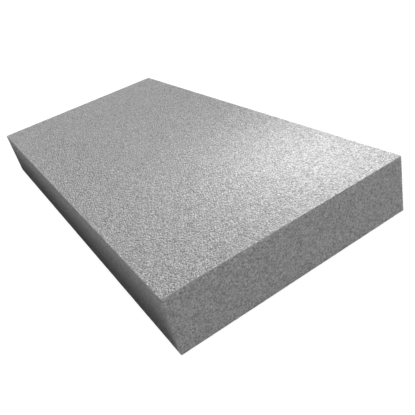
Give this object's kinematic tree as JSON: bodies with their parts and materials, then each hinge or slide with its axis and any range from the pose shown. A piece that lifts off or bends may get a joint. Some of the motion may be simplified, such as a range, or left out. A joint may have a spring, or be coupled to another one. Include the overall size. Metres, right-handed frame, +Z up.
{
  "type": "xps insulation board",
  "caption": "Thick rectangular rigid foam insulation board with square edges, lying flat, its faces and edges finely pebbled like cut foam.",
  "frame": {"origin": "centre of the underside, on the surface that the board lies on", "axes": "+X along the 1250 mm length, +Y across the 600 mm width, +Z up through the 140 mm thickness"},
  "size_m": [1.25, 0.6, 0.14],
  "materials": {
    "foam": "matte"
  },
  "bodies": {
    "root": {"foam_board": "foam"}
  },
  "joints": []
}
